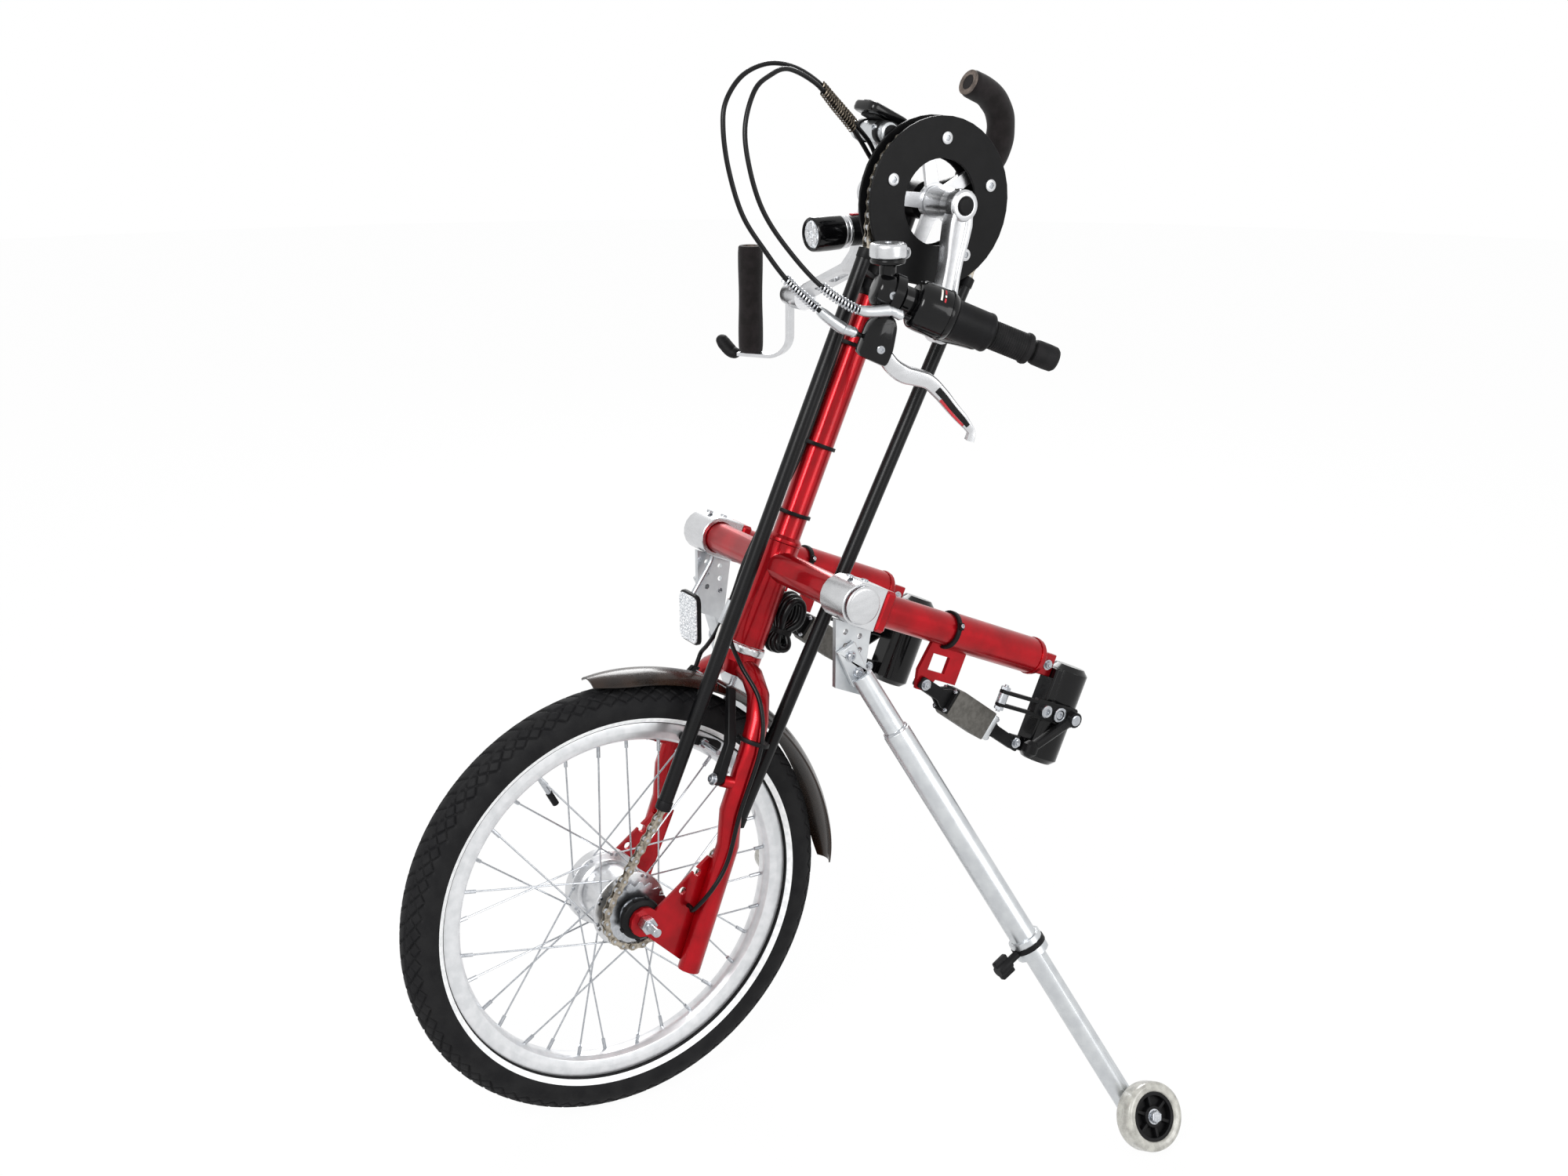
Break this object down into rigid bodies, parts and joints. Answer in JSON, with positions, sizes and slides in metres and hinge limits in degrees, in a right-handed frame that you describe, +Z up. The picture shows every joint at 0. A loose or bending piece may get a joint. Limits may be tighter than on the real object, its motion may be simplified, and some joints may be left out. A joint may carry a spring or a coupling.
{
  "type": "handbike front drive unit",
  "caption": "Hand-cranked front drive wheel with mast, steering fork, docking arms and a parking stand, for a wheelchair.",
  "frame": {"origin": "on the floor under the middle of the whole object", "axes": "+X to the rider's left, where the chain runs, +Y back towards the wheelchair, +Z up"},
  "size_m": [0.8332, 0.7762, 1.1438],
  "materials": {
    "red_enamel": "glossy transparent red enamel",
    "silver": "satin silver",
    "steel": "plated steel",
    "black_metal": "black anodised",
    "black_plastic": "moulded black",
    "rubber": "matt black rubber",
    "foam": "matt closed-cell foam",
    "grey_block": "dark grey cast",
    "cable_sheath": "black sheathed control cable",
    "smoked_plastic": "smoked brown-black",
    "clear_reflector": "clear faceted reflector",
    "clear_urethane": "clear grey urethane"
  },
  "bodies": {
    "frame": {"cross_tube": "red_enamel", "strap_left": "silver", "strap_right": "silver", "dock_arm_left": "red_enamel", "dock_arm_right": "red_enamel", "dock_jaw_left": "black_metal", "dock_jaw_right": "black_metal", "jaw_clamp_left": "black_metal", "jaw_clamp_right": "black_metal", "dock_strut_left": "grey_block", "dock_strut_right": "grey_block", "stand_plate_left": "silver", "stand_plate_right": "silver", "stand_tube_left": "silver", "stand_tube_right": "silver", "stand_knob_left": "black_plastic", "stand_knob_right": "black_plastic", "reflector": "clear_reflector", "cable_hank": "rubber"},
    "leg_left": {"stand_leg_left": "silver"},
    "leg_right": {"stand_leg_right": "silver"},
    "foot_left": {"foot_wheel_left": "clear_urethane"},
    "foot_right": {"foot_wheel_right": "clear_urethane"},
    "steer": {"fork": "red_enamel", "mast": "red_enamel", "mast_head": "black_metal", "chain_tube_front": "black_plastic", "chain_tube_rear": "black_plastic", "chain": "steel", "mudguard": "smoked_plastic", "headlight": "black_metal", "accessory_bar": "silver", "computer": "black_plastic", "pull_handle": "foam", "wheel_axle": "steel", "brake_arm_left": "black_metal", "brake_arm_right": "black_metal", "brake_cable": "cable_sheath", "shift_cable": "cable_sheath"},
    "wheel": {"tyre": "rubber", "wire_wheel": "silver", "sprocket": "steel"},
    "crank": {"chainring": "silver", "guard_outer": "black_plastic", "guard_inner": "black_plastic", "crank_left": "silver", "crank_right": "silver"},
    "hand_left": {"handle_left": "black_plastic", "brake_lever": "black_metal", "bell": "silver"},
    "hand_right": {"bracket_right": "silver", "grip_right": "foam", "grip_pad_right": "rubber"}
  },
  "joints": [
    {"name": "steering", "type": "hinge", "parent": "frame", "child": "steer", "pos_m": [0, 0.06785, 0.604], "axis": [0, 0.3987, 0.9171], "range_deg": [-28, 28]},
    {"name": "drive_wheel_spin", "type": "hinge", "parent": "steer", "child": "wheel", "pos_m": [0, -0.13815, 0.25], "axis": [1, 0, 0], "continuous": true},
    {"name": "crank_spin", "type": "hinge", "parent": "steer", "child": "crank", "pos_m": [0, 0.23772, 0.99467], "axis": [1, 0, 0], "continuous": true, "deforming": ["brake_cable", "shift_cable"]},
    {"name": "handle_left_swivel", "type": "hinge", "parent": "crank", "child": "hand_left", "pos_m": [0, 0.21253, 0.86509], "axis": [1, 0, 0], "continuous": true, "deforming": ["brake_cable", "shift_cable"]},
    {"name": "handle_right_swivel", "type": "hinge", "parent": "crank", "child": "hand_right", "pos_m": [0, 0.21253, 0.86509], "axis": [1, 0, 0], "continuous": true},
    {"name": "stand_slide_left", "type": "slide", "parent": "frame", "child": "leg_left", "axis": [-0.345, -0.4007, 0.8487], "range_m": [0, 0.12]},
    {"name": "foot_spin_left", "type": "hinge", "parent": "leg_left", "child": "foot_left", "pos_m": [0.39, 0.30785, 0.03908], "axis": [0.9083, 0, 0.4183], "continuous": true},
    {"name": "stand_slide_right", "type": "slide", "parent": "frame", "child": "leg_right", "axis": [0.345, -0.4007, 0.8487], "range_m": [0, 0.12]},
    {"name": "foot_spin_right", "type": "hinge", "parent": "leg_right", "child": "foot_right", "pos_m": [-0.39, 0.30785, 0.03908], "axis": [-0.9083, 0, 0.4183], "continuous": true}
  ]
}
